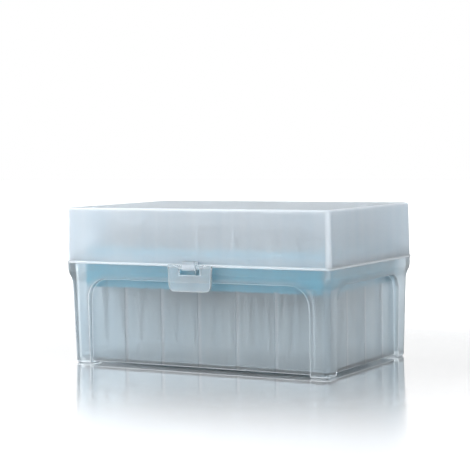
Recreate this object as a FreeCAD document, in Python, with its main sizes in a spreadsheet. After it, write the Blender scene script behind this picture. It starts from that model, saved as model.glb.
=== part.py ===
import FreeCAD, Part
import os
from math import tan

import Sketcher
from FreeCAD import Vector

# A hinged box of 96 pipette tips. The frame is in millimetres: +X along the box, -Y towards the
# latch at the front, +Z up, with the origin on the table under the middle of the box.

os.makedirs("parts", exist_ok=True)
doc = FreeCAD.newDocument("TipBox")

# --------------------------------------------------------------------------------------------
# Driving dimensions
# --------------------------------------------------------------------------------------------

DIMENSIONS = [
    # the closed box
    ("box_length", 126.6, "over the bead of the lid"),
    ("box_width", 84.0, "over the bead of the lid"),
    ("base_height", 43.4, "table to the edge of the lid"),
    ("lid_height", 24.0, "edge of the lid to its top"),
    ("corner_radius", 2.4, "upright corners of lid and base"),
    # base
    ("wall", 1.3, "walls of the base"),
    ("floor_thickness", 1.4, "floor of the base"),
    ("foot_height", 1.0, "legs below the floor"),
    ("foot_bevel", 0.6, "lower outer edges of the legs"),
    ("foot_inset", 2.5, "legs inside the lid outline, at the table"),
    ("leg_inset", 1.6, "legs inside the lid outline, where the flare starts"),
    ("band_inset", 0.25, "top band inside the lid outline"),
    ("flare_drop", 8.4, "start of the flare below the lid edge"),
    ("flare_height", 5.5, "height of the flare"),
    ("panel_inset", 4.5, "arched panels inside the lid outline"),
    ("leg_reach", 10.6, "inner edge of the legs inside the lid outline"),
    ("arch_drop", 6.6, "top of the arched panels below the lid edge"),
    ("arch_radius", 8.5, "upper corners of the arched panels"),
    ("rim_height", 4.0, "upstand that enters the lid"),
    ("rim_wall", 1.2, "thickness of the upstand"),
    ("rim_gap", 0.4, "upstand to lid"),
    # ribs that carry the rack
    ("rib_cells", 2, "tips from one rib to the next"),
    ("rib_width", 1.2, "thickness of a rib"),
    ("long_side_ribs", 5, "ribs on the front and on the back"),
    ("short_side_ribs", 3, "ribs on each end"),
    ("seat_drop", 10.2, "rib tops below the lid edge"),
    ("rib_lap", 1.8, "how far a rib reaches under the rack"),
    # lid
    ("lid_wall", 1.3, "walls of the lid"),
    ("lid_top", 1.4, "top plate of the lid"),
    ("lid_taper", 0.4, "how far each lid wall leans in"),
    ("lid_rounding", 0.9, "edges of the lid top"),
    ("bead_depth", 0.3, "bead along the lid edge"),
    ("bead_height", 0.9, "bead along the lid edge"),
    ("lid_rib_depth", 0.5, "flow ribs inside the lid walls"),
    ("lid_rib_drop", 16.0, "flow ribs below the lid top"),
    ("lid_middle_rib", 3.0, "middle flow rib"),
    # rack
    ("rack_height", 16.6, "whole height of the rack"),
    ("rack_gap", 0.5, "rack to the arched panels"),
    ("rack_skirt", 1.2, "skirt of the rack"),
    ("rack_plate", 2.0, "perforated plate of the rack"),
    ("rack_corner", 2.0, "upright corners of the rack"),
    ("hole_radius", 3.15, "holes of the rack, to their corners"),
    ("tip_columns", 12, "tips along the box, 9 mm apart"),
    ("tip_rows", 8, "tips across the box, 9 mm apart"),
    ("end_margin", 9.3, "field of the tips inside the lid outline, at each end"),
    ("side_margin", 6.0, "field of the tips inside the lid outline, at front and back"),
    # tips, with radii to the corners of their facets
    ("tip_length", 50.0, "whole length of a tip"),
    ("collar_height", 11.0, "collar above the rack"),
    ("collar_radius", 3.75, "collar at its top"),
    ("collar_taper", 0.3, "collar narrowing to its shoulder"),
    ("tip_play", 0.2, "neck of the tip in its hole"),
    ("tip_seat_gap", 0.05, "collar to the plate of the rack"),
    ("tip_end_radius", 0.6, "outside at the lower end"),
    ("bore_radius", 2.9, "bore at the top"),
    ("orifice_radius", 0.25, "bore at the lower end"),
    # hinge along the back edge
    ("hinge_drop", 1.9, "pin below the lid edge"),
    ("hinge_station", 38.0, "hinges from the middle of the box"),
    ("ear_width", 3.0, "each eye of the base"),
    ("tongue_width", 12.0, "tongue of the lid"),
    ("tongue_rise", 4.0, "tongue on the back of the lid"),
    ("hinge_side_gap", 0.3, "tongue to each eye"),
    # snap pivots: the hinge pins at the back and the latch bar at the front
    ("pivot_radius", 0.8, "pins of the lid and bar of the flap"),
    ("pivot_play", 0.06, "pin or bar in its socket"),
    ("pivot_wall", 0.55, "socket around a pin or the bar"),
    ("pivot_standoff", 1.4, "pins and bar outside the lid outline"),
    ("pivot_mouth", 1.3, "snap opening of a socket"),
    # latch at the front
    ("latch_width", 20.6, "flap at the bar"),
    ("latch_taper", 0.5, "flap narrowing on each side"),
    ("latch_drop", 10.3, "flap below its bar"),
    ("latch_thickness", 1.4, "plate of the flap"),
    ("latch_corner", 2.8, "lower corners of the flap"),
    ("latch_rise", 0.1, "bar above the lid edge"),
    ("window_width", 10.0, "window of the flap"),
    ("window_height", 3.4, "window below the bar"),
    ("knuckle_width", 6.0, "knuckle of the lid"),
    ("knuckle_height", 3.7, "knuckle of the lid"),
    ("catch_width", 4.4, "catch of the base"),
    ("catch_height", 2.7, "catch of the base"),
    ("catch_gap", 0.12, "catch to the back of the flap"),
]

sheet = doc.addObject("Spreadsheet::Sheet", "Size")
for row, (alias, value, meaning) in enumerate(DIMENSIONS, start=1):
    sheet.set(f"A{row}", alias)
    sheet.set(f"B{row}", str(value))
    sheet.set(f"C{row}", meaning)
    sheet.setAlias(f"B{row}", alias)
doc.recompute()

# Places that several pieces share, each worked out once from the sheet.
HALF_X = "Size.box_length / 2"
HALF_Y = "Size.box_width / 2"
TOP = "(Size.base_height + Size.lid_height)"
FLOOR_TOP = "(Size.foot_height + Size.floor_thickness)"
PANEL_INSIDE = "(Size.panel_inset + Size.wall)"
LID_SKIN = "Size.bead_depth"
LID_INSIDE = "(Size.bead_depth + Size.lid_wall)"
RIM_OUTSIDE = f"({LID_INSIDE} + Size.rim_gap)"
RIM_INSIDE = f"({RIM_OUTSIDE} + Size.rim_wall)"
RACK_INSET = f"({PANEL_INSIDE} + Size.rack_gap)"
ARCH_TOP = "(Size.base_height - Size.arch_drop)"
FLARE_START = "(Size.base_height - Size.flare_drop)"
RACK_SEAT = "(Size.base_height - Size.seat_drop)"
RACK_TOP = f"({RACK_SEAT} + Size.rack_height)"
TIP_SEAT = f"({RACK_TOP} + Size.tip_seat_gap)"
PIVOT_BORE = "(Size.pivot_radius + Size.pivot_play)"
SOCKET_RADIUS = f"({PIVOT_BORE} + Size.pivot_wall)"
HINGE_Y = f"({HALF_Y} + Size.pivot_standoff)"
HINGE_Z = "(Size.base_height - Size.hinge_drop)"
BAR_Y = f"({HALF_Y} + Size.pivot_standoff)"
BAR_Z = "(Size.base_height + Size.latch_rise)"
FLAP_BACK = f"({BAR_Y} - Size.latch_thickness / 2)"
EYE_OFFSET = "(Size.tongue_width / 2 + Size.hinge_side_gap + Size.ear_width / 2)"
KNUCKLE_BOTTOM = f"({BAR_Z} - {SOCKET_RADIUS})"
LID_CEILING = f"({TOP} - Size.lid_top)"
COLUMN_PITCH = "((Size.box_length - 2 * Size.end_margin) / Size.tip_columns)"
ROW_PITCH = "((Size.box_width - 2 * Size.side_margin) / Size.tip_rows)"
FIRST_COLUMN = f"(-{COLUMN_PITCH} * (Size.tip_columns - 1) / 2)"
FIRST_ROW = f"(-{ROW_PITCH} * (Size.tip_rows - 1) / 2)"

# Corners whose rounding is a share of the width that they end.
SOCKET_ROUNDING = f"({SOCKET_RADIUS} * 0.9)"
CATCH_ROUNDING = "(Size.catch_width * 0.45)"
SHOULDER_RADIUS = "(Size.collar_radius - Size.collar_taper)"
TIP_SIDES = 6


# --------------------------------------------------------------------------------------------
# Modelling helpers
# --------------------------------------------------------------------------------------------

def number(expression):
    """The present value of an expression over the sheet."""
    return float(sheet.evalExpression(expression))


def new_body(name):
    body = doc.addObject("PartDesign::Body", name)
    body.Label = name
    return body


def origin_part(body, role):
    return next(part for part in body.Origin.OriginFeatures if part.Role == role)


def sketch_on(body, name, plane, offset=None):
    """An empty sketch on an origin plane, or at an offset along the plane's normal."""
    sketch = body.newObject("Sketcher::SketchObject", name)
    sketch.AttachmentSupport = (origin_part(body, plane), "")
    sketch.MapMode = "FlatFace"
    if offset is not None:
        sketch.setExpression("AttachmentOffset.Base.z", offset)
    return sketch


def bind(sketch, constraint, expression):
    """Add a dimension to a sketch and tie it to the sheet."""
    index = sketch.addConstraint(Sketcher.Constraint(*constraint, number(expression)))
    sketch.setExpression(f"Constraints[{index}]", expression)


def place(sketch, geometry, point, x, y):
    """Hold one point of a sketch at x, y from its origin."""
    bind(sketch, ("DistanceX", -1, 1, geometry, point), x)
    bind(sketch, ("DistanceY", -1, 1, geometry, point), y)


def round_corner(sketch, corner, spot, before, after):
    """Join two lines of an outline by an arc, and hold the point where the lines would meet."""
    start = sketch.getPoint(before, 2)
    end = sketch.getPoint(after, 1)
    radius = number(corner[2])
    inward = ((start - spot).normalize() + (end - spot).normalize()).normalize()
    to_centre = ((start - spot).Length ** 2 + radius ** 2) ** 0.5
    arc = sketch.addGeometry(Part.Arc(start, spot + inward * (to_centre - radius), end), False)
    starts_there = sketch.getPoint(arc, 1).distanceToPoint(start) < radius / 100
    first, last = (1, 2) if starts_there else (2, 1)
    sketch.addConstraint(Sketcher.Constraint("Tangent", before, 2, arc, first))
    sketch.addConstraint(Sketcher.Constraint("Tangent", after, 1, arc, last))
    bind(sketch, ("Radius", arc), corner[2])
    point = sketch.addGeometry(Part.Point(spot), True)
    sketch.addConstraint(Sketcher.Constraint("PointOnObject", point, 1, before))
    sketch.addConstraint(Sketcher.Constraint("PointOnObject", point, 1, after))
    place(sketch, point, 1, corner[0], corner[1])


def draw_outline(sketch, corners):
    """A closed outline. A corner is (x, y), or (x, y, radius) where it is rounded."""
    spots = [Vector(number(corner[0]), number(corner[1]), 0) for corner in corners]
    arriving, leaving = [], []
    for i, corner in enumerate(corners):
        back = (spots[i - 1] - spots[i]).normalize()
        ahead = (spots[(i + 1) % len(spots)] - spots[i]).normalize()
        reach = number(corner[2]) / tan(back.getAngle(ahead) / 2) if len(corner) == 3 else 0.0
        arriving.append(spots[i] + back * reach)
        leaving.append(spots[i] + ahead * reach)
    lines = []
    for i, start in enumerate(leaving):
        end = arriving[(i + 1) % len(spots)]
        lines.append(sketch.addGeometry(Part.LineSegment(start, end), False))
    for i, corner in enumerate(corners):
        if len(corner) == 3:
            round_corner(sketch, corner, spots[i], lines[i - 1], lines[i])
        else:
            sketch.addConstraint(Sketcher.Constraint("Coincident", lines[i - 1], 2, lines[i], 1))
            place(sketch, lines[i], 1, corner[0], corner[1])


def draw_box(sketch, x0, x1, y0, y1, radius=None):
    """A rectangle, rounded where a radius is given."""
    corners = [(x0, y0), (x1, y0), (x1, y1), (x0, y1)]
    if radius is not None:
        corners = [corner + (radius,) for corner in corners]
    draw_outline(sketch, corners)


def draw_footprint(sketch, inset, radius):
    """The plan of the box, drawn in by an inset, with rounded corners."""
    x = f"({HALF_X} - {inset})"
    y = f"({HALF_Y} - {inset})"
    draw_box(sketch, f"-{x}", x, f"-{y}", y, radius)


def draw_circle(sketch, x, y, radius):
    centre = Vector(number(x), number(y), 0)
    circle = sketch.addGeometry(Part.Circle(centre, Vector(0, 0, 1), number(radius)), False)
    place(sketch, circle, 3, x, y)
    bind(sketch, ("Radius", circle), radius)


def draw_facets(sketch, x, y, radius):
    """The six-sided outline of a tip or of its hole, by the radius to its corners."""
    corners = []
    for i in range(TIP_SIDES):
        angle = (i + 0.5) * 360 / TIP_SIDES
        corners.append((f"{x} + {radius} * cos({angle})", f"{y} + {radius} * sin({angle})"))
    draw_outline(sketch, corners)


def extrude(body, kind, name, sketch, length, side="One side", backwards=False):
    """A pad or pocket of a sketch. A pad grows along the sketch's normal, a pocket against it."""
    feature = body.newObject(f"PartDesign::{kind}", name)
    feature.Profile = sketch
    feature.Type = "Length"
    feature.SideType = side
    feature.Reversed = backwards
    feature.setExpression("Length", length)
    return feature


def loft(body, kind, name, sketches):
    """A loft with straight rulings through sketches."""
    feature = body.newObject(f"PartDesign::{kind}", name)
    feature.Profile = sketches[0]
    feature.Sections = sketches[1:]
    feature.Ruled = True
    return feature


def mirror(body, name, features, plane):
    """Repeat features on the far side of an origin plane."""
    copy = body.newObject("PartDesign::Mirrored", name)
    copy.Originals = features
    copy.MirrorPlane = (origin_part(body, plane), [""])
    body.Tip = copy


def repeat(body, name, features, axis, count, pitch):
    """Repeat features in a row along an origin axis."""
    row = body.newObject("PartDesign::LinearPattern", name)
    row.Originals = features
    row.Direction = (origin_part(body, axis), [""])
    row.Mode = "Spacing"
    row.setExpression("Offset", pitch)
    row.setExpression("Occurrences", count)
    body.Tip = row
    return row


# --------------------------------------------------------------------------------------------
# Base
# --------------------------------------------------------------------------------------------

def cut_arches(body, inset, grown):
    """Cut all four sides back to an inset, inside the arched outlines of the panels."""
    crown = f"({ARCH_TOP} + {grown})"
    rounding = f"(Size.arch_radius + {grown})"
    for side, plane, half_width, half_depth in (
        ("long", "XZ_Plane", HALF_X, HALF_Y),
        ("short", "YZ_Plane", HALF_Y, HALF_X),
    ):
        edge = f"({half_width} - Size.leg_reach + {grown})"
        outline = sketch_on(body, f"{side}_arch", plane, f"{half_depth} - {inset}")
        draw_outline(outline, [
            (f"-{edge}", "-Size.foot_height"),
            (edge, "-Size.foot_height"),
            (edge, crown, rounding),
            (f"-{edge}", crown, rounding),
        ])
        pocket = extrude(body, "Pocket", f"{side}_panel", outline, "2 * Size.panel_inset", backwards=True)
        mirror(body, f"{side}_panel_opposite", [pocket], plane)


def flare_inset(share):
    """Inset of the base at a share of the flare, which follows half a cosine wave."""
    return f"(Size.band_inset + (Size.leg_inset - Size.band_inset) * (1 + cos({180 * share})) / 2)"


def make_base_hollow():
    """The space inside the base: it narrows downwards and steps in behind the panels."""
    body = new_body("base_hollow")
    low = sketch_on(body, "low_outline", "XY_Plane", FLOOR_TOP)
    draw_footprint(low, "(Size.foot_inset + Size.wall)", "Size.corner_radius")
    high = sketch_on(body, "high_outline", "XY_Plane", "Size.base_height + Size.rim_height")
    draw_footprint(high, RIM_INSIDE, "Size.corner_radius")
    loft(body, "AdditiveLoft", "space", [low, high])
    cut_arches(body, PANEL_INSIDE, "Size.wall")
    return body


def add_base_form(body):
    """The outer form: drafted legs that flare into a band, arched panels, feet and rim."""
    levels = [("0", "(Size.foot_inset + Size.foot_bevel)"), ("Size.foot_bevel", "Size.foot_inset")]
    for share in (0, 0.3, 0.7, 1):
        levels.append((f"{FLARE_START} + Size.flare_height * {share}", flare_inset(share)))
    levels.append(("Size.base_height", "Size.band_inset"))
    outlines = []
    for i, (height, inset) in enumerate(levels):
        outlines.append(sketch_on(body, f"level_{i}", "XY_Plane", height))
        draw_footprint(outlines[i], inset, "Size.corner_radius")
    loft(body, "AdditiveLoft", "legs_and_band", outlines)
    cut_arches(body, "Size.panel_inset", "0")
    long_x, long_y = HALF_X, f"({HALF_Y} - Size.leg_reach)"
    wide_x, wide_y = f"({HALF_X} - Size.leg_reach)", HALF_Y
    for name, x, y in (("underside_along", long_x, long_y), ("underside_across", wide_x, wide_y)):
        outline = sketch_on(body, f"{name}_outline", "XY_Plane")
        draw_box(outline, f"-{x}", x, f"-{y}", y)
        extrude(body, "Pocket", name, outline, "Size.foot_height", backwards=True)
    outline = sketch_on(body, "rim_outline", "XY_Plane", "Size.base_height - Size.rim_height")
    draw_footprint(outline, RIM_OUTSIDE, "Size.corner_radius")
    extrude(body, "Pad", "rim", outline, "2 * Size.rim_height")


def add_ribs(body):
    """Upright ribs behind the panels. The skirt of the rack stands on them."""
    reach = f"({RACK_INSET} + Size.rib_lap)"
    root = "(Size.panel_inset + Size.wall / 2)"
    bottom = "(Size.foot_height + Size.floor_thickness / 2)"
    for side, axis, count, cell, half_depth in (
        ("long", "X_Axis", "Size.long_side_ribs", COLUMN_PITCH, HALF_Y),
        ("short", "Y_Axis", "Size.short_side_ribs", ROW_PITCH, HALF_X),
    ):
        pitch = f"(Size.rib_cells * {cell})"
        first = f"(-{pitch} * ({count} - 1) / 2)"
        span = (f"({first} - Size.rib_width / 2)", f"({first} + Size.rib_width / 2)")
        inner = f"({half_depth} - {reach})"
        outer = f"({half_depth} - {root})"
        outline = sketch_on(body, f"{side}_ribs_outline", "XY_Plane", bottom)
        for depth in ((f"-{outer}", f"-{inner}"), (inner, outer)):
            sides = span + depth if side == "long" else depth + span
            draw_box(outline, *sides)
        ribs = extrude(body, "Pad", f"{side}_ribs", outline, f"{RACK_SEAT} - {bottom}")
        repeat(body, f"{side}_ribs_row", [ribs], axis, count, pitch)


def add_hinge_eyes(body):
    """Two pairs of eyes on the back, each open on top so that the lid's pins snap in."""
    root = f"({HALF_Y} - Size.band_inset - Size.wall / 2)"
    for hinge in (-1, 1):
        for side in (-1, 1):
            middle = f"{hinge} * Size.hinge_station + {side} * {EYE_OFFSET}"
            name = f"eye_{hinge + 1}{side + 1}"
            outline = sketch_on(body, f"{name}_outline", "YZ_Plane", f"{middle} - Size.ear_width / 2")
            draw_outline(outline, [
                (root, f"{HINGE_Z} - {SOCKET_RADIUS}"),
                (f"{HINGE_Y} + {SOCKET_RADIUS}", f"{HINGE_Z} - {SOCKET_RADIUS}", SOCKET_ROUNDING),
                (f"{HINGE_Y} + {SOCKET_RADIUS}", f"{HINGE_Z} + {SOCKET_RADIUS}", SOCKET_ROUNDING),
                (root, f"{HINGE_Z} + {SOCKET_RADIUS}"),
            ])
            extrude(body, "Pad", name, outline, "Size.ear_width")
    bore = sketch_on(body, "eye_bore_outline", "YZ_Plane")
    draw_circle(bore, HINGE_Y, HINGE_Z, PIVOT_BORE)
    extrude(body, "Pocket", "eye_bores", bore, "Size.box_length", side="Symmetric")
    mouth = sketch_on(body, "eye_mouth_outline", "YZ_Plane")
    half_mouth = "Size.pivot_mouth / 2"
    draw_box(
        mouth, f"{HINGE_Y} - {half_mouth}", f"{HINGE_Y} + {half_mouth}",
        HINGE_Z, f"{HINGE_Z} + 2 * {SOCKET_RADIUS}",
    )
    extrude(body, "Pocket", "eye_mouths", mouth, "Size.box_length", side="Symmetric")


def add_catch(body):
    """The catch on the front band, round below, behind the window of the flap."""
    half = "Size.catch_width / 2"
    top = f"({KNUCKLE_BOTTOM} - Size.catch_gap)"
    root = f"({HALF_Y} - Size.band_inset - Size.wall / 2)"
    outline = sketch_on(body, "catch_outline", "XZ_Plane", root)
    draw_outline(outline, [
        (f"-{half}", top),
        (f"-{half}", f"{top} - Size.catch_height", CATCH_ROUNDING),
        (half, f"{top} - Size.catch_height", CATCH_ROUNDING),
        (half, top),
    ])
    extrude(body, "Pad", "catch", outline, f"{FLAP_BACK} - Size.catch_gap - {root}")


def make_base():
    hollow = make_base_hollow()
    body = new_body("base")
    add_base_form(body)
    cut = body.newObject("PartDesign::Boolean", "hollowed")
    cut.Type = "Cut"
    cut.addObject(hollow)
    add_ribs(body)
    add_hinge_eyes(body)
    add_catch(body)
    return body


# --------------------------------------------------------------------------------------------
# Lid
# --------------------------------------------------------------------------------------------

def add_lid_shell(body):
    """A drafted cover with rounded top edges and a thin bead along its lower edge."""
    levels = [("Size.base_height", LID_SKIN, "Size.corner_radius")]
    for angle in (0, 45, 90):
        drawn_in = f"(Size.lid_rounding * (1 - cos({angle})))"
        levels.append((
            f"{TOP} - Size.lid_rounding * (1 - sin({angle}))",
            f"({LID_SKIN} + Size.lid_taper + {drawn_in})",
            f"(Size.corner_radius - {drawn_in})",
        ))
    outlines = []
    for i, (height, inset, radius) in enumerate(levels):
        outlines.append(sketch_on(body, f"cover_{i}", "XY_Plane", height))
        draw_footprint(outlines[i], inset, radius)
    loft(body, "AdditiveLoft", "cover", outlines)
    low = sketch_on(body, "hollow_low", "XY_Plane", "Size.base_height")
    draw_footprint(low, LID_INSIDE, "(Size.corner_radius - Size.lid_wall)")
    high = sketch_on(body, "hollow_high", "XY_Plane", LID_CEILING)
    draw_footprint(high, f"({LID_INSIDE} + Size.lid_taper)", "(Size.corner_radius - Size.lid_wall)")
    loft(body, "SubtractiveLoft", "hollow", [low, high])
    outline = sketch_on(body, "bead_outline", "XY_Plane", "Size.base_height")
    draw_footprint(outline, "0", "Size.corner_radius")
    draw_footprint(outline, "(Size.bead_depth + Size.lid_wall / 2)", "Size.corner_radius")
    extrude(body, "Pad", "bead", outline, "Size.bead_height")


def add_flow_ribs(body):
    """Shallow ribs inside the front and back walls, the middle one wider."""
    inner = f"({HALF_Y} - {LID_INSIDE} - Size.lid_taper - Size.lid_rib_depth)"
    outer = f"({HALF_Y} - {LID_SKIN} - Size.lid_taper - Size.lid_wall / 2)"
    outline = sketch_on(body, "flow_ribs_outline", "XY_Plane", f"{LID_CEILING} + Size.lid_top / 2")
    for step, width in ((-1, "Size.rib_width"), (0, "Size.lid_middle_rib"), (1, "Size.rib_width")):
        middle = f"{step} * Size.rib_cells * {COLUMN_PITCH}"
        for depth in ((f"-{outer}", f"-{inner}"), (inner, outer)):
            draw_box(outline, f"({middle} - {width} / 2)", f"({middle} + {width} / 2)", *depth)
    extrude(body, "Pad", "flow_ribs", outline, "Size.lid_rib_drop", backwards=True)


def add_hinge_tongues(body):
    """Two tongues on the back, each with a pin that reaches into the eyes on its two sides."""
    root = f"({HALF_Y} - {LID_SKIN} - Size.lid_wall / 2)"
    front = f"({HINGE_Y} - {SOCKET_RADIUS})"
    back = f"({HINGE_Y} + {SOCKET_RADIUS})"
    for hinge in (-1, 1):
        middle = f"{hinge} * Size.hinge_station"
        name = f"tongue_{hinge + 1}"
        outline = sketch_on(body, f"{name}_outline", "YZ_Plane", f"{middle} - Size.tongue_width / 2")
        draw_outline(outline, [
            (front, f"{HINGE_Z} - {SOCKET_RADIUS}", SOCKET_ROUNDING),
            (back, f"{HINGE_Z} - {SOCKET_RADIUS}", SOCKET_ROUNDING),
            (back, "Size.base_height + Size.bead_height"),
            (f"{HALF_Y} + Size.bead_depth", "Size.base_height + Size.tongue_rise"),
            (root, "Size.base_height + Size.tongue_rise"),
            (root, "Size.base_height + Size.bead_height / 2"),
            (front, "Size.base_height + Size.bead_height / 2"),
        ])
        extrude(body, "Pad", name, outline, "Size.tongue_width")
        length = f"(2 * {EYE_OFFSET} + Size.ear_width)"
        pin = sketch_on(body, f"pin_{hinge + 1}_outline", "YZ_Plane", f"{middle} - {length} / 2")
        draw_circle(pin, HINGE_Y, HINGE_Z, "Size.pivot_radius")
        extrude(body, "Pad", f"pin_{hinge + 1}", pin, length)


def add_knuckle(body):
    """The knuckle on the front edge, open below so that the flap's bar snaps in."""
    root = f"({HALF_Y} - {LID_SKIN} - Size.lid_wall / 2)"
    back = f"({BAR_Y} - {SOCKET_RADIUS})"
    face = f"({BAR_Y} + {SOCKET_RADIUS})"
    top = f"({KNUCKLE_BOTTOM} + Size.knuckle_height)"
    shelf = "(Size.base_height + Size.bead_height / 2)"
    outline = sketch_on(body, "knuckle_outline", "YZ_Plane")
    draw_outline(outline, [
        (f"-{face}", top, "Size.pivot_wall"),
        (f"-{face}", KNUCKLE_BOTTOM, "Size.pivot_wall"),
        (f"-{back}", KNUCKLE_BOTTOM),
        (f"-{back}", shelf),
        (f"-{root}", shelf),
        (f"-{root}", top),
    ])
    extrude(body, "Pad", "knuckle", outline, "Size.knuckle_width", side="Symmetric")
    bore = sketch_on(body, "knuckle_bore_outline", "YZ_Plane")
    draw_circle(bore, f"-{BAR_Y}", BAR_Z, PIVOT_BORE)
    extrude(body, "Pocket", "knuckle_bore", bore, "2 * Size.knuckle_width", side="Symmetric")
    mouth = sketch_on(body, "knuckle_mouth_outline", "YZ_Plane")
    half_mouth = "Size.pivot_mouth / 2"
    draw_box(
        mouth, f"-{BAR_Y} - {half_mouth}", f"-{BAR_Y} + {half_mouth}",
        f"{KNUCKLE_BOTTOM} - Size.pivot_wall", BAR_Z,
    )
    extrude(body, "Pocket", "knuckle_opening", mouth, "2 * Size.knuckle_width", side="Symmetric")


def make_lid():
    body = new_body("lid")
    add_lid_shell(body)
    add_flow_ribs(body)
    add_hinge_tongues(body)
    add_knuckle(body)
    return body


# --------------------------------------------------------------------------------------------
# Latch
# --------------------------------------------------------------------------------------------

def make_latch_flap():
    """A plate that hangs from a bar, with a window for the knuckle and the catch."""
    body = new_body("latch_flap")
    half = "Size.latch_width / 2"
    foot = f"({half} - Size.latch_taper)"
    bottom = f"({BAR_Z} - Size.latch_drop)"
    outline = sketch_on(body, "plate_outline", "XZ_Plane", FLAP_BACK)
    draw_outline(outline, [
        (f"-{foot}", bottom, "Size.latch_corner"),
        (foot, bottom, "Size.latch_corner"),
        (half, BAR_Z),
        (f"-{half}", BAR_Z),
    ])
    extrude(body, "Pad", "plate", outline, "Size.latch_thickness")
    window = sketch_on(body, "window_outline", "XZ_Plane", f"{FLAP_BACK} + Size.latch_thickness")
    draw_box(
        window, "-Size.window_width / 2", "Size.window_width / 2",
        f"{BAR_Z} - Size.window_height", f"{BAR_Z} + Size.pivot_radius",
    )
    extrude(body, "Pocket", "window", window, "Size.latch_thickness")
    bar = sketch_on(body, "bar_outline", "YZ_Plane")
    draw_circle(bar, f"-{BAR_Y}", BAR_Z, "Size.pivot_radius")
    extrude(body, "Pad", "bar", bar, "Size.latch_width", side="Symmetric")
    return body


# --------------------------------------------------------------------------------------------
# Rack and tips
# --------------------------------------------------------------------------------------------

def make_tip_rack():
    """A perforated plate with a skirt all round."""
    body = new_body("tip_rack")
    outline = sketch_on(body, "rack_outline", "XY_Plane", RACK_SEAT)
    draw_footprint(outline, RACK_INSET, "Size.rack_corner")
    extrude(body, "Pad", "block", outline, "Size.rack_height")
    outline = sketch_on(body, "skirt_outline", "XY_Plane", RACK_SEAT)
    draw_footprint(outline, f"({RACK_INSET} + Size.rack_skirt)", "Size.rack_corner - Size.rack_skirt / 2")
    extrude(body, "Pocket", "skirt", outline, "Size.rack_height - Size.rack_plate", backwards=True)
    outline = sketch_on(body, "holes_outline", "XY_Plane", RACK_TOP)
    for i in range(int(number("Size.tip_rows"))):
        draw_facets(outline, FIRST_COLUMN, f"({FIRST_ROW} + {i} * {ROW_PITCH})", "Size.hole_radius")
    holes = extrude(body, "Pocket", "holes_across", outline, "Size.rack_plate")
    repeat(body, "holes", [holes], "X_Axis", "Size.tip_columns", COLUMN_PITCH)
    return body


def add_tip_cone(body, name, radius, low, high, narrowing):
    """A six-sided cone between two heights. The radius is at the shoulder, which is height zero."""
    outline = sketch_on(body, f"{name}_outline", "XY_Plane", low)
    draw_facets(outline, "0", "0", radius)
    extrude(body, "Pad", f"{name}_prism", outline, f"{high} - {low}")
    doc.recompute()
    prism = body.Tip
    span = (number(low), number(high))
    sides = []
    for i, face in enumerate(prism.Shape.Faces, start=1):
        if abs(face.BoundBox.ZMin - span[0]) + abs(face.BoundBox.ZMax - span[1]) < 1e-3:
            sides.append(f"Face{i}")
    cone = body.newObject("PartDesign::Draft", name)
    cone.Base = (prism, sides)
    cone.NeutralPlane = (origin_part(body, "XY_Plane"), [""])
    cone.Reversed = True
    cone.setExpression("Angle", f"atan({narrowing} * cos({180 / TIP_SIDES}) / ({high} - {low}))")


def make_tip_row():
    """One row of tips across the box, drawn about the shoulders by which they hang."""
    neck_length = "(Size.tip_length - Size.collar_height)"
    neck_radius = "(Size.hole_radius - Size.tip_play)"
    bore_narrowing = "(Size.bore_radius - Size.orifice_radius)"
    bore_radius = f"(Size.orifice_radius + {bore_narrowing} * {neck_length} / Size.tip_length)"
    bore = new_body("tip_bore")
    add_tip_cone(bore, "bore", bore_radius, f"-{neck_length}", "Size.collar_height", bore_narrowing)
    body = new_body("tip_row")
    add_tip_cone(body, "neck", neck_radius, f"-{neck_length}", "0", f"({neck_radius} - Size.tip_end_radius)")
    add_tip_cone(body, "collar", SHOULDER_RADIUS, "0", "Size.collar_height", "Size.collar_taper")
    drilled = body.newObject("PartDesign::Boolean", "drilled")
    drilled.Type = "Cut"
    drilled.addObject(bore)
    doc.recompute()
    row = repeat(body, "tips", [], "Y_Axis", "Size.tip_rows", ROW_PITCH)
    row.TransformMode = "Whole shape"
    return body


def make_tip_columns():
    """The rows of tips, one for each column of the rack."""
    row = make_tip_row()
    columns = []
    for i in range(int(number("Size.tip_columns"))):
        column = doc.addObject("Part::Compound", f"tips_column_{i + 1:02d}")
        column.Label = column.Name
        column.Links = [row]
        column.setExpression("Placement.Base.x", f"{FIRST_COLUMN} + {i} * {COLUMN_PITCH}")
        column.setExpression("Placement.Base.y", FIRST_ROW)
        column.setExpression("Placement.Base.z", TIP_SEAT)
        columns.append(column)
    return columns


# --------------------------------------------------------------------------------------------
# Build, check and write
# --------------------------------------------------------------------------------------------

pieces = [make_base(), make_lid(), make_latch_flap(), make_tip_rack()] + make_tip_columns()
doc.recompute()

for item in doc.Objects:
    if {"Invalid", "Error"} & set(item.State):
        raise RuntimeError(f"{item.Label} did not build")
for piece in pieces:
    if piece.Shape.isNull() or not piece.Shape.isValid():
        raise RuntimeError(f"{piece.Label} has no sound solid")

for piece in pieces:
    piece.Shape.exportStep(f"parts/{piece.Label}.step")
    print(piece.Label, len(piece.Shape.Solids), round(piece.Shape.Volume, 1))
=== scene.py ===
from math import cos, pi, radians, sin

import bmesh
import bpy
from mathutils import Matrix, Vector


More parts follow.
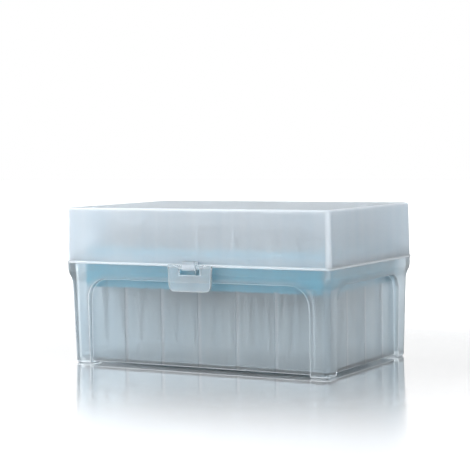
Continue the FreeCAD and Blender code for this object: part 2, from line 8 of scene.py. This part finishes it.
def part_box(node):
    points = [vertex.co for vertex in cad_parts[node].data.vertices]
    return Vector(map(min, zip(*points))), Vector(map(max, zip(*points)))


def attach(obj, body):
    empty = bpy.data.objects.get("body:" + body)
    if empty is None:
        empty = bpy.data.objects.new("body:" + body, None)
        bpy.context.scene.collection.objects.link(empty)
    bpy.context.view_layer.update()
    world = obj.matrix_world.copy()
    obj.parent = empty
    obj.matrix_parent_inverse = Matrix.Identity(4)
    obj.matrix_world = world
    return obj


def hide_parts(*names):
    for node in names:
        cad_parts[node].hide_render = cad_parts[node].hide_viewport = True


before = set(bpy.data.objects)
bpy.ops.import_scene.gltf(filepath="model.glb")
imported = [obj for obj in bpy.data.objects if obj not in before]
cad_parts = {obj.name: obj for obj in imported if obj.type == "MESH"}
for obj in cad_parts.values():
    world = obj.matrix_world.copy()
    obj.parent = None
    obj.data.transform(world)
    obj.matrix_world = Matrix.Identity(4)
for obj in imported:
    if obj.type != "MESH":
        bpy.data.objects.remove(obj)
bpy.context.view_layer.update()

# ---------------------------------------------------------------------------------------------
# Camera. A long lens, low over the table and turned to the right of the latch, so that the
# front and the right-hand end of the box both show.
# ---------------------------------------------------------------------------------------------

turn, rise, roll = radians(28.956), radians(3.3), radians(-0.724)
aim_height = 0.05426
aim_to_left = 0.00218
distance = 0.66592
focal_length = 117.06
back = Vector((sin(turn) * cos(rise), -cos(turn) * cos(rise), sin(rise)))
right = Vector((cos(turn), sin(turn), 0))
up = back.cross(right)
aim = Vector((0, 0, aim_height)) - aim_to_left * right
lens_right = right * cos(roll) + up * sin(roll)
lens_up = up * cos(roll) - right * sin(roll)
camera = bpy.data.objects.new("camera", bpy.data.cameras.new("camera"))
camera.data.lens = focal_length
camera.matrix_world = Matrix((
    (lens_right.x, lens_up.x, back.x, aim.x + distance * back.x),
    (lens_right.y, lens_up.y, back.y, aim.y + distance * back.y),
    (lens_right.z, lens_up.z, back.z, aim.z + distance * back.z),
    (0, 0, 0, 1),
))
bpy.context.scene.collection.objects.link(camera)
bpy.context.scene.camera = camera

# ---------------------------------------------------------------------------------------------
# Studio. A pale table top, polished where the box stands and duller further out, one large soft
# box in front, two strips that pick out the edges, and an even pale room. What looks past the
# object, straight or in a gloss, sees white.
# ---------------------------------------------------------------------------------------------


def new_material(name):
    """A material whose node tree is empty, and that tree."""
    material = bpy.data.materials.new(name)
    material.use_nodes = True
    tree = material.node_tree
    tree.nodes.clear()
    return material, tree


def add_node(tree, kind, inputs=(), **settings):
    """A node with its settings. Each input is given a value, or a socket to link from."""
    node = tree.nodes.new(kind)
    for name, value in settings.items():
        setattr(node, name, value)
    for key, value in dict(inputs).items():
        if isinstance(value, bpy.types.NodeSocket):
            tree.links.new(value, node.inputs[key])
        else:
            node.inputs[key].default_value = value
    return node


def put(tree, shader, height=None, depth=0.0):
    """Send a shader to the material's surface, with an optional bump."""
    if height is not None:
        bump = add_node(tree, "ShaderNodeBump", {
            "Strength": 1.0, "Distance": depth, "Height": height,
        })
        tree.links.new(bump.outputs["Normal"], shader.inputs["Normal"])
    output = add_node(tree, "ShaderNodeOutputMaterial")
    tree.links.new(shader.outputs[0], output.inputs["Surface"])


def seen_ray(tree):
    """One on rays that look at a surface, straight, in a gloss or through a clear piece."""
    rays = add_node(tree, "ShaderNodeLightPath").outputs
    straight = add_node(tree, "ShaderNodeMath", {
        0: rays["Is Camera Ray"], 1: rays["Is Glossy Ray"],
    }, operation="MAXIMUM").outputs[0]
    return add_node(tree, "ShaderNodeMath", {
        0: straight, 1: rays["Is Transmission Ray"],
    }, operation="MAXIMUM").outputs[0]


def ease(tree, value, start, end, before, after):
    """A value that goes gently from before to after as another goes from start to end."""
    return add_node(tree, "ShaderNodeMapRange", {
        "Value": value, "From Min": start, "From Max": end, "To Min": before, "To Max": after,
    }, interpolation_type="SMOOTHSTEP").outputs["Result"]


polished_reach = 0.08
dull_reach = 0.24
oval = (1, 1.3, 1)
grain_waver = 0.004

table_top, tree = new_material("pale_table_top")
place = add_node(tree, "ShaderNodeTexCoord").outputs["Object"]
spread = add_node(tree, "ShaderNodeVectorMath", {0: place, 1: oval}, operation="MULTIPLY").outputs[0]
reach = add_node(tree, "ShaderNodeVectorMath", {0: spread}, operation="LENGTH").outputs["Value"]
grain = add_node(tree, "ShaderNodeTexNoise", {
    "Vector": place, "Scale": 900.0, "Detail": 2.0,
}).outputs["Fac"]
worn = add_node(tree, "ShaderNodeMath", {
    0: grain, 1: grain_waver, 2: reach,
}, operation="MULTIPLY_ADD").outputs[0]

# The polish shows at a low angle and fades with distance. It differs from speck to speck, so the
# mirrored box has no edge where it fades out.
near = ease(tree, worn, start=polished_reach, end=dull_reach, before=0.80, after=0.10)
speck = add_node(tree, "ShaderNodeTexWhiteNoise", {"Vector": place}).outputs["Value"]
uneven = add_node(tree, "ShaderNodeMapRange", {
    "Value": speck, "To Min": 0.70, "To Max": 1.24,
}).outputs["Result"]
speckled = add_node(tree, "ShaderNodeMath", {0: near, 1: uneven}, operation="MULTIPLY").outputs[0]
grazing = add_node(tree, "ShaderNodeLayerWeight", {"Blend": 0.5}).outputs["Facing"]
polish = ease(tree, grazing, start=0.50, end=0.82, before=0.0, after=speckled)
dull = ease(tree, worn, start=0.06, end=dull_reach, before=0.06, after=0.18)

# The far table glows a little on seen rays, so that it meets the white room.
far = ease(tree, reach, start=0.09, end=0.45, before=0.0, after=0.6)
glow = add_node(tree, "ShaderNodeMath", {
    0: far, 1: seen_ray(tree),
}, operation="MULTIPLY").outputs[0]
put(tree, add_node(tree, "ShaderNodeBsdfPrincipled", {
    "Base Color": (0.96, 0.965, 0.97, 1), "Metallic": polish, "Roughness": dull,
    "Emission Color": (1, 1, 1, 1), "Emission Strength": glow,
}))

table_half = 3
table_gap = 0.00005
corners = [
    (-table_half, -table_half, 0), (table_half, -table_half, 0),
    (table_half, table_half, 0), (-table_half, table_half, 0),
]
table_mesh = bpy.data.meshes.new("table_top")
table_mesh.from_pydata(corners, [], [(0, 1, 2, 3)])
table_mesh.materials.append(table_top)
table = bpy.data.objects.new("table_top", table_mesh)
table.location.z = -table_gap
bpy.context.scene.collection.objects.link(table)

room = bpy.data.worlds.new("pale_room")
room.use_nodes = True
room.node_tree.nodes.clear()
tree = room.node_tree
lit = add_node(tree, "ShaderNodeBackground", {"Color": (0.88, 0.91, 0.95, 1), "Strength": 0.46})
plain = add_node(tree, "ShaderNodeBackground", {"Color": (1, 1, 1, 1), "Strength": 1.0})
mix = add_node(tree, "ShaderNodeMixShader", {
    "Fac": seen_ray(tree), 1: lit.outputs[0], 2: plain.outputs[0],
})
world_output = add_node(tree, "ShaderNodeOutputWorld")
tree.links.new(mix.outputs[0], world_output.inputs["Surface"])
bpy.context.scene.world = room

box_middle = Vector((0, 0, 0.035))


def soft_box(name, place, size, watts, colour):
    """A soft light, width by height, that faces the middle of the box."""
    lamp = bpy.data.lights.new(name, "AREA")
    lamp.shape = "RECTANGLE"
    lamp.size, lamp.size_y = size
    lamp.energy = watts
    lamp.color = colour
    light = bpy.data.objects.new(name, lamp)
    light.location = place
    away = Vector(place) - box_middle
    light.rotation_euler = away.to_track_quat("Z", "Y").to_euler()
    bpy.context.scene.collection.objects.link(light)


soft_box("front_soft_box", (-0.37, -0.39, 0.28), size=(0.50, 0.40), watts=3.1, colour=(1.0, 0.985, 0.98))
soft_box("strip_over_lid", (-0.44, -0.05, 0.80), size=(0.70, 0.12), watts=3.0, colour=(0.97, 0.98, 1.0))
soft_box("strip_at_corner", (0.78, -0.45, 0.16), size=(0.05, 0.50), watts=3.2, colour=(0.96, 0.98, 1.0))
bpy.context.scene.view_settings.view_transform = "Standard"

# ---------------------------------------------------------------------------------------------
# Base. One moulding in natural polypropylene: four legs, thin arched panels with ribs behind
# them, a floor and a rim for the lid. The mould is lightly blasted, so the walls are frosted.
# ---------------------------------------------------------------------------------------------


def make_frosting():
    """A node group for blasted polypropylene: fine grain, slow clouds and flow streaks."""
    group = bpy.data.node_groups.new("frosting", "ShaderNodeTree")
    for name in ("Grain Scale", "Cloud Scale", "Streak Scale"):
        group.interface.new_socket(name, in_out="INPUT", socket_type="NodeSocketFloat")
    for name in ("Grain", "Cloud", "Streak"):
        group.interface.new_socket(name, in_out="OUTPUT", socket_type="NodeSocketFloat")
    start = group.nodes.new("NodeGroupInput").outputs
    end = group.nodes.new("NodeGroupOutput").inputs
    where = add_node(group, "ShaderNodeTexCoord").outputs["Object"]
    upright = add_node(group, "ShaderNodeMapping", {
        "Vector": where, "Scale": (1, 1, 0.08),
    }).outputs["Vector"]
    for name, place, detail in (("Grain", where, 3.0), ("Cloud", where, 2.0), ("Streak", upright, 2.0)):
        noise = add_node(group, "ShaderNodeTexNoise", {
            "Vector": place, "Scale": start[name + " Scale"], "Detail": detail,
        })
        group.links.new(noise.outputs["Fac"], end[name])
    return group


frosting = make_frosting()


def make_painted_rib_shade_and_light():
    """A node group for painted shade and light on the outside of a wall, along the ribs that stand on
    its inside.

    Ribs stand a pitch apart, within a reach of the middle of the wall, and end at a top. The reach is
    along the box on its long walls, and across it on its ends. Each rib gets a thin line of painted
    shade with a flank of painted light beside it.
    """
    group = bpy.data.node_groups.new("painted_rib_shade_and_light", "ShaderNodeTree")
    for name in ("Pitch", "Reach Along", "Reach Across", "Top", "Darkness", "Paleness"):
        group.interface.new_socket(name, in_out="INPUT", socket_type="NodeSocketFloat")
    for name in ("Dark", "Pale"):
        group.interface.new_socket(name, in_out="OUTPUT", socket_type="NodeSocketFloat")
    start = group.nodes.new("NodeGroupInput").outputs
    end = group.nodes.new("NodeGroupOutput").inputs
    own = add_node(group, "ShaderNodeTexCoord").outputs
    place = add_node(group, "ShaderNodeSeparateXYZ", {0: own["Object"]}).outputs
    facing = add_node(group, "ShaderNodeSeparateXYZ", {0: own["Normal"]}).outputs

    mostly, hardly = 0.7, 0.3

    def work_out(operation, a, b=0.0):
        return add_node(group, "ShaderNodeMath", {0: a, 1: b}, operation=operation).outputs[0]

    def choose(factor, a, b):
        return add_node(group, "ShaderNodeMix", {"Factor": factor, "A": a, "B": b}).outputs["Result"]

    long_wall = work_out("GREATER_THAN", work_out("ABSOLUTE", facing["Y"]), mostly)
    upright = work_out("LESS_THAN", work_out("ABSOLUTE", facing["Z"]), hardly)
    along = choose(long_wall, place["Y"], place["X"])
    reach = choose(long_wall, start["Reach Across"], start["Reach Along"])
    within = work_out("LESS_THAN", work_out("ABSOLUTE", along), reach)
    below = work_out("LESS_THAN", place["Z"], start["Top"])
    inside = work_out("MULTIPLY", work_out("MULTIPLY", within, below), upright)
    half = work_out("DIVIDE", start["Pitch"], 2.0)
    cell = work_out("FLOORED_MODULO", work_out("ADD", along, half), start["Pitch"])
    offset = work_out("SUBTRACT", cell, half)
    # Dark is a thin line of painted shade along the rib; Pale is a flank of painted light beside it.
    for name, strength, centre, width in (
        ("Dark", "Darkness", 0.0, 0.0005),
        ("Pale", "Paleness", 0.001, 0.0015),
    ):
        distance = work_out("ABSOLUTE", work_out("SUBTRACT", offset, centre))
        fade = ease(group, distance, start=0.0, end=width, before=start[strength], after=0.0)
        group.links.new(work_out("MULTIPLY", fade, inside), end[name])
    return group


def blend_colours(tree, factor, a, b):
    """The colour socket between two colours, which may be sockets themselves."""
    return add_node(tree, "ShaderNodeMix", {
        "Factor": factor, "A": a, "B": b,
    }, data_type="RGBA").outputs["Result"]


painted_rib_shade_and_light = make_painted_rib_shade_and_light()
rib_pitch = 0.018
# The colours of the painted light beside each rib and of the painted shade along it.
painted_light_flank = (0.90, 0.94, 0.97, 1)
painted_shade_line = (0.20, 0.27, 0.32, 1)
polypropylene_ior = 1.49
grain_depth = 0.000008
roughness_waver = 0.04


def frosted_plastic(name, deep, milky, clarity, roughness, rib_shading):
    """Natural polypropylene: some light goes through and blurs, the rest comes back milky.

    The colour drifts between deep and milky. The last argument holds the reach, top and strength of the
    painted shade and light at the ribs, and is empty for a moulding without them.
    """
    material, tree = new_material(name)
    frost = add_node(tree, "ShaderNodeGroup", {
        "Grain Scale": 2600.0, "Cloud Scale": 22.0, "Streak Scale": 160.0,
    }, node_tree=frosting).outputs
    cloudy = add_node(tree, "ShaderNodeMath", {
        0: frost["Cloud"], 1: frost["Streak"],
    }, operation="ADD").outputs[0]
    drift = add_node(tree, "ShaderNodeMapRange", {
        "Value": cloudy, "From Min": 0.5, "From Max": 1.5,
    }).outputs["Result"]
    ribs = add_node(tree, "ShaderNodeGroup", {"Pitch": rib_pitch, **rib_shading}, node_tree=painted_rib_shade_and_light).outputs
    colour = blend_colours(tree, drift, deep, milky)
    # Painted light and painted shade along the ribs.
    colour = blend_colours(tree, ribs["Pale"], colour, painted_light_flank)
    colour = blend_colours(tree, ribs["Dark"], colour, painted_shade_line)
    matt = add_node(tree, "ShaderNodeMapRange", {
        "Value": frost["Grain"],
        "To Min": roughness - roughness_waver, "To Max": roughness + roughness_waver,
    }).outputs["Result"]
    shader = add_node(tree, "ShaderNodeBsdfPrincipled", {
        "Base Color": colour,
        "Roughness": matt,
        "IOR": polypropylene_ior,
        "Specular IOR Level": 0.3,
        "Transmission Weight": clarity,
    })
    put(tree, shader, frost["Grain"], grain_depth)
    return material


sharp_angle = radians(38)
flat_angle = radians(0.3)
merge_distance = 2e-6
rounding_steps = 2


def moulded_piece(node, name, material, radius, rounded, whiter_and_highlit):
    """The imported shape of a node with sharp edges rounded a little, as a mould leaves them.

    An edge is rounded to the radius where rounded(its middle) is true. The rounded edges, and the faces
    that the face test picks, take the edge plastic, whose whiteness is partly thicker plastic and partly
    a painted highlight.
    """
    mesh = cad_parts[node].data.copy()
    mesh.name = name
    form = bmesh.new()
    form.from_mesh(mesh)
    bmesh.ops.remove_doubles(form, verts=form.verts, dist=merge_distance)
    bmesh.ops.dissolve_limit(form, angle_limit=flat_angle, verts=form.verts, edges=form.edges)
    for face in form.faces:
        face.smooth = True
    weight = form.edges.layers.float.new("bevel_weight_edge")
    for edge in form.edges:
        middle = (edge.verts[0].co + edge.verts[1].co) / 2
        sharp = edge.calc_face_angle(0) > sharp_angle
        if sharp and rounded(middle):
            edge[weight] = 1.0
        edge.smooth = not sharp or rounded(middle)
    form.to_mesh(mesh)
    form.free()
    mesh.materials.clear()
    mesh.materials.append(material)
    mesh.materials.append(highlit_edge_plastic)
    for polygon in mesh.polygons:
        polygon.material_index = 1 if whiter_and_highlit(polygon) else 0
    piece = bpy.data.objects.new(name, mesh)
    bpy.context.scene.collection.objects.link(piece)
    edges = piece.modifiers.new("rounded_edges", "BEVEL")
    edges.width = radius
    edges.segments = rounding_steps
    edges.limit_method = "WEIGHT"
    edges.use_clamp_overlap = False
    # The rounded faces take the edge plastic, with its painted highlight.
    edges.material = 1
    normals = piece.modifiers.new("flat_faces_stay_flat", "WEIGHTED_NORMAL")
    normals.keep_sharp = True
    return piece


base_plastic = frosted_plastic(
    "frosted_base_plastic",
    deep=(0.64, 0.745, 0.81, 1), milky=(0.79, 0.865, 0.905, 1), clarity=0.92, roughness=0.32,
    rib_shading={
        "Reach Along": 0.045, "Reach Across": 0.027, "Top": 0.0335,
        "Darkness": 0.4, "Paleness": 0.7,
    },
)
# Edge plastic: whiter where the plastic is thicker, and paler still as a painted highlight along the
# edges.
highlit_edge_plastic = frosted_plastic(
    "whiter_highlit_edge_plastic",
    deep=(0.80, 0.86, 0.91, 1), milky=(0.88, 0.93, 0.96, 1), clarity=0.52, roughness=0.30,
    rib_shading={},
)
base_edge_radius = 0.0003
band_foot = 0.0385
upstand_foot = 0.0455


def is_base_rounding(middle):
    """Legs, arches and ribs below the band, and the lip of the upstand, but not the hinge eyes."""
    return middle.z < band_foot or middle.z > upstand_foot


# The rounded edges of the base take the edge plastic, with its painted highlight.
base = moulded_piece(
    "base", "base_moulding", base_plastic, base_edge_radius,
    rounded=is_base_rounding, whiter_and_highlit=lambda face: False,
)
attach(base, "box")
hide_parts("base")

# ---------------------------------------------------------------------------------------------
# Rack. A light-blue tray with a skirt and 96 round holes, moulded in coloured polypropylene. It
# stands on the ribs of the base.
# ---------------------------------------------------------------------------------------------

rack_plastic, tree = new_material("light_blue_rack_plastic")
frost = add_node(tree, "ShaderNodeGroup", {
    "Grain Scale": 1800.0, "Cloud Scale": 60.0, "Streak Scale": 90.0,
}, node_tree=frosting).outputs
tint = blend_colours(tree, frost["Cloud"], (0.008, 0.40, 0.55, 1), (0.018, 0.53, 0.69, 1))
matt = add_node(tree, "ShaderNodeMapRange", {
    "Value": frost["Streak"], "To Min": 0.34, "To Max": 0.50,
}).outputs["Result"]
shader = add_node(tree, "ShaderNodeBsdfPrincipled", {
    "Base Color": tint, "Roughness": matt, "IOR": polypropylene_ior,
})
rack_grain_depth = 0.00002
put(tree, shader, frost["Grain"], rack_grain_depth)

rack_low, rack_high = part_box("tip_rack")
pitch = 0.009
columns, rows = 12, 8
hole_radius = 0.00285
hole_rounding = 0.00025
hole_sides = 24
plate_thickness = 0.002
plate_margin = 0.0006
skirt_thickness = 0.0012
rack_corner = 0.002
rack_rounding = 0.0004
corner_steps = 6
weld_distance = 1e-6
shortest_edge = 1e-7
corner_signs = ((1, -1), (1, 1), (-1, 1), (-1, -1))


def rounded_outline(low, high, radius, inset):
    """Points round a rectangle with rounded corners, drawn in by an inset."""
    smallest_radius = 0.0003
    points = []
    reach = max(radius - inset, smallest_radius)
    for corner, (sign_x, sign_y) in enumerate(corner_signs):
        centre_x = (high.x if sign_x > 0 else low.x) - sign_x * (inset + reach)
        centre_y = (high.y if sign_y > 0 else low.y) - sign_y * (inset + reach)
        for step in range(corner_steps + 1):
            angle = (corner - 1 + step / corner_steps) * pi / 2
            points.append((centre_x + reach * cos(angle), centre_y + reach * sin(angle)))
    return points


def join_loops(form, loops):
    """Bands of faces between closed loops of points that have the same count."""
    rings = [[form.verts.new(point) for point in loop] for loop in loops]
    for lower, upper in zip(rings, rings[1:]):
        count = len(lower)
        for i in range(count):
            j = (i + 1) % count
            form.faces.new((lower[i], lower[j], upper[j], upper[i]))


def new_piece(name, form, material):
    """An object from a finished mesh, smooth except at its sharp edges."""
    crease_angle = radians(35)
    bmesh.ops.recalc_face_normals(form, faces=form.faces)
    mesh = bpy.data.meshes.new(name)
    form.to_mesh(mesh)
    form.free()
    mesh.materials.append(material)
    mesh.shade_smooth()
    mesh.set_sharp_from_angle(angle=crease_angle)
    piece = bpy.data.objects.new(name, mesh)
    bpy.context.scene.collection.objects.link(piece)
    return piece


def place_in_line(number, count):
    """Where one of a count of holes stands, from the middle of their line."""
    return (number - (count - 1) / 2) * pitch


def add_hole(form, x, y, edge_y):
    """A square cell of the plate round one hole. No point lies past edge_y to front or back."""
    top, under = rack_high.z, rack_high.z - plate_thickness
    flared = hole_radius + hole_rounding
    profile = (
        (top, None), (top, flared), (top - hole_rounding, hole_radius),
        (under + hole_rounding, hole_radius), (under, flared), (under, None),
    )
    loops = []
    for level, radius in profile:
        loop = []
        for side in range(hole_sides):
            angle = 2 * pi * side / hole_sides
            unit_x, unit_y = cos(angle), sin(angle)
            to_square = pitch / 2 / max(abs(unit_x), abs(unit_y))
            reach = to_square if radius is None else radius
            across = min(max(y + reach * unit_y, -edge_y), edge_y)
            loop.append((x + reach * unit_x, across, level))
        loops.append(loop)
    join_loops(form, loops)


def make_rack():
    """The plate is cells of one hole each; the skirt hangs from its edge."""
    form = bmesh.new()
    top, under = rack_high.z, rack_high.z - plate_thickness
    field_x = columns * pitch / 2
    field_y = min(rows * pitch / 2, rack_high.y - plate_margin)
    for column in range(columns):
        for row in range(rows):
            add_hole(form, place_in_line(column, columns), place_in_line(row, rows), field_y)
    field = []
    for sign_x, sign_y in corner_signs:
        field += [(sign_x * field_x, sign_y * field_y)] * (corner_steps + 1)
    outer = rounded_outline(rack_low, rack_high, rack_corner, 0)
    brow = rounded_outline(rack_low, rack_high, rack_corner, rack_rounding)
    inner = rounded_outline(rack_low, rack_high, rack_corner, skirt_thickness)
    profile = (
        (field, top), (brow, top), (outer, top - rack_rounding), (outer, rack_low.z),
        (inner, rack_low.z), (inner, under), (field, under),
    )
    join_loops(form, [[(x, y, level) for x, y in loop] for loop, level in profile])
    bmesh.ops.remove_doubles(form, verts=form.verts, dist=weld_distance)
    bmesh.ops.dissolve_degenerate(form, edges=form.edges, dist=shortest_edge)
    return new_piece("blue_rack", form, rack_plastic)


rack = make_rack()
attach(rack, "box")
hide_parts("tip_rack")

# ---------------------------------------------------------------------------------------------
# Tips. 96 clear cones of natural polypropylene with a ribbed collar, hung in the rack by their
# shoulders, 8 to a column.
# ---------------------------------------------------------------------------------------------

tip_plastic, tree = new_material("clear_tip_plastic")
frost = add_node(tree, "ShaderNodeGroup", {
    "Grain Scale": 900.0, "Cloud Scale": 200.0, "Streak Scale": 400.0,
}, node_tree=frosting).outputs
gloss = add_node(tree, "ShaderNodeMapRange", {
    "Value": frost["Cloud"], "To Min": 0.16, "To Max": 0.28,
}).outputs["Result"]
shade = blend_colours(tree, frost["Streak"], (0.84, 0.87, 0.89, 1), (0.93, 0.95, 0.96, 1))
put(tree, add_node(tree, "ShaderNodeBsdfPrincipled", {
    "Base Color": shade, "Roughness": gloss, "IOR": polypropylene_ior,
    "Transmission Weight": 0.86,
}))

tip_sides = 48
rib_sides = 4
rib_height = 0.00028
shoulder_gap = 0.00005


def make_tip_column(node):
    """Eight tips, each a wall turned about its own axis, with ribs on the collar.

    The wall is drawn as levels and radii, up the outside and down the bore.
    """
    low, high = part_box(node)
    middle_x = (low.x + high.x) / 2
    seat = rack_high.z + shoulder_gap
    cone = [
        (low.z, 0.00045), (low.z + 0.0002, 0.00055),
        (low.z + 0.012, 0.00095), (low.z + 0.0125, 0.00108),
        (seat - 0.0145, 0.00202), (seat - 0.0140, 0.00216),
        (seat - 0.0002, 0.00262), (seat, 0.00262),
    ]
    collar = [(seat, 0.00312), (seat + 0.0003, 0.00318), (high.z - 0.0014, 0.00322)]
    mouth = [
        (high.z - 0.0009, 0.00350), (high.z - 0.0002, 0.00352), (high.z, 0.00345),
        (high.z, 0.00295), (high.z - 0.0006, 0.00278),
    ]
    bore = [
        (seat, 0.00225), (seat - 0.0140, 0.00170), (low.z + 0.012, 0.00055), (low.z, 0.00025),
    ]
    profile = cone + collar + mouth + bore + cone[:1]
    form = bmesh.new()
    for row in range(rows):
        y = place_in_line(row, rows)
        loops = []
        for level, radius in profile:
            loop = []
            for side in range(tip_sides):
                on_rib = (level, radius) in collar and side % rib_sides < rib_sides / 2
                reach = radius + (rib_height if on_rib else 0)
                angle = 2 * pi * side / tip_sides
                loop.append((middle_x + reach * cos(angle), y + reach * sin(angle), level))
            loops.append(loop)
        join_loops(form, loops)
    bmesh.ops.remove_doubles(form, verts=form.verts, dist=shortest_edge)
    return new_piece(node + "_clear", form, tip_plastic)


for number in range(1, columns + 1):
    node = f"tips_column_{number:02d}"
    tips = make_tip_column(node)
    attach(tips, "box")
    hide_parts(node)

# ---------------------------------------------------------------------------------------------
# Lid. One moulding in the same plastic, milkier and more matt than the base. Two tongues at the
# back snap into the eyes of the base, and a knuckle at the front holds the latch.
# ---------------------------------------------------------------------------------------------

lid_plastic = frosted_plastic(
    "frosted_lid_plastic",
    deep=(0.72, 0.81, 0.875, 1), milky=(0.88, 0.92, 0.955, 1), clarity=0.80, roughness=0.50,
    rib_shading={"Reach Along": 0.027, "Top": 1.0, "Paleness": 0.25},
)
lid_edge_radius = 0.0002
square_on = 0.97
bead_top = 0.0444
bead_front, bead_back = 0.0418, 0.0425
bead_end = 0.0631
top_edge_foot = 0.066
corner_x, corner_y = 0.060, 0.0385
knuckle_half, knuckle_back = 0.0042, -0.040
tongue_front = 0.0405


def is_lid_edge(face):
    """The rounded upright corners, the edge of the top and the bead are thicker, so whiter, and carry a
    painted highlight.
    """
    x, y, z = abs(face.center.x), abs(face.center.y), face.center.z
    turned = max(abs(part) for part in face.normal) < square_on
    on_bead = z < bead_top and (bead_front < y < bead_back or x > bead_end)
    at_corner = x > corner_x and y > corner_y
    return on_bead or turned and (z > top_edge_foot or at_corner)


def is_lid_rounding(middle):
    """The bead at the front and the ends, clear of the knuckle and of the hinge tongues."""
    at_knuckle = abs(middle.x) < knuckle_half and middle.y < knuckle_back
    return middle.y < tongue_front and not at_knuckle


# The lid's rounded edges, upright corners, top edge and bead take the edge plastic, with its painted
# highlight.
lid = moulded_piece(
    "lid", "lid_moulding", lid_plastic, lid_edge_radius,
    rounded=is_lid_rounding, whiter_and_highlit=is_lid_edge,
)
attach(lid, "cover")
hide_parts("lid")

# ---------------------------------------------------------------------------------------------
# Latch. A small flap that hangs from a bar in the lid's knuckle and snaps over the catch on the
# base. It is moulded on its own, in the same plastic.
# ---------------------------------------------------------------------------------------------

latch_plastic = frosted_plastic(
    "frosted_latch_plastic",
    deep=(0.78, 0.85, 0.89, 1), milky=(0.92, 0.95, 0.97, 1), clarity=0.90, roughness=0.18,
    rib_shading={},
)
latch_edge_radius = 0.0002
# The rounded edges of the latch take the edge plastic, with its painted highlight.
latch = moulded_piece(
    "latch_flap", "latch_flap_moulding", latch_plastic, latch_edge_radius,
    rounded=lambda middle: True, whiter_and_highlit=lambda face: False,
)
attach(latch, "latch")
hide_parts("latch_flap")
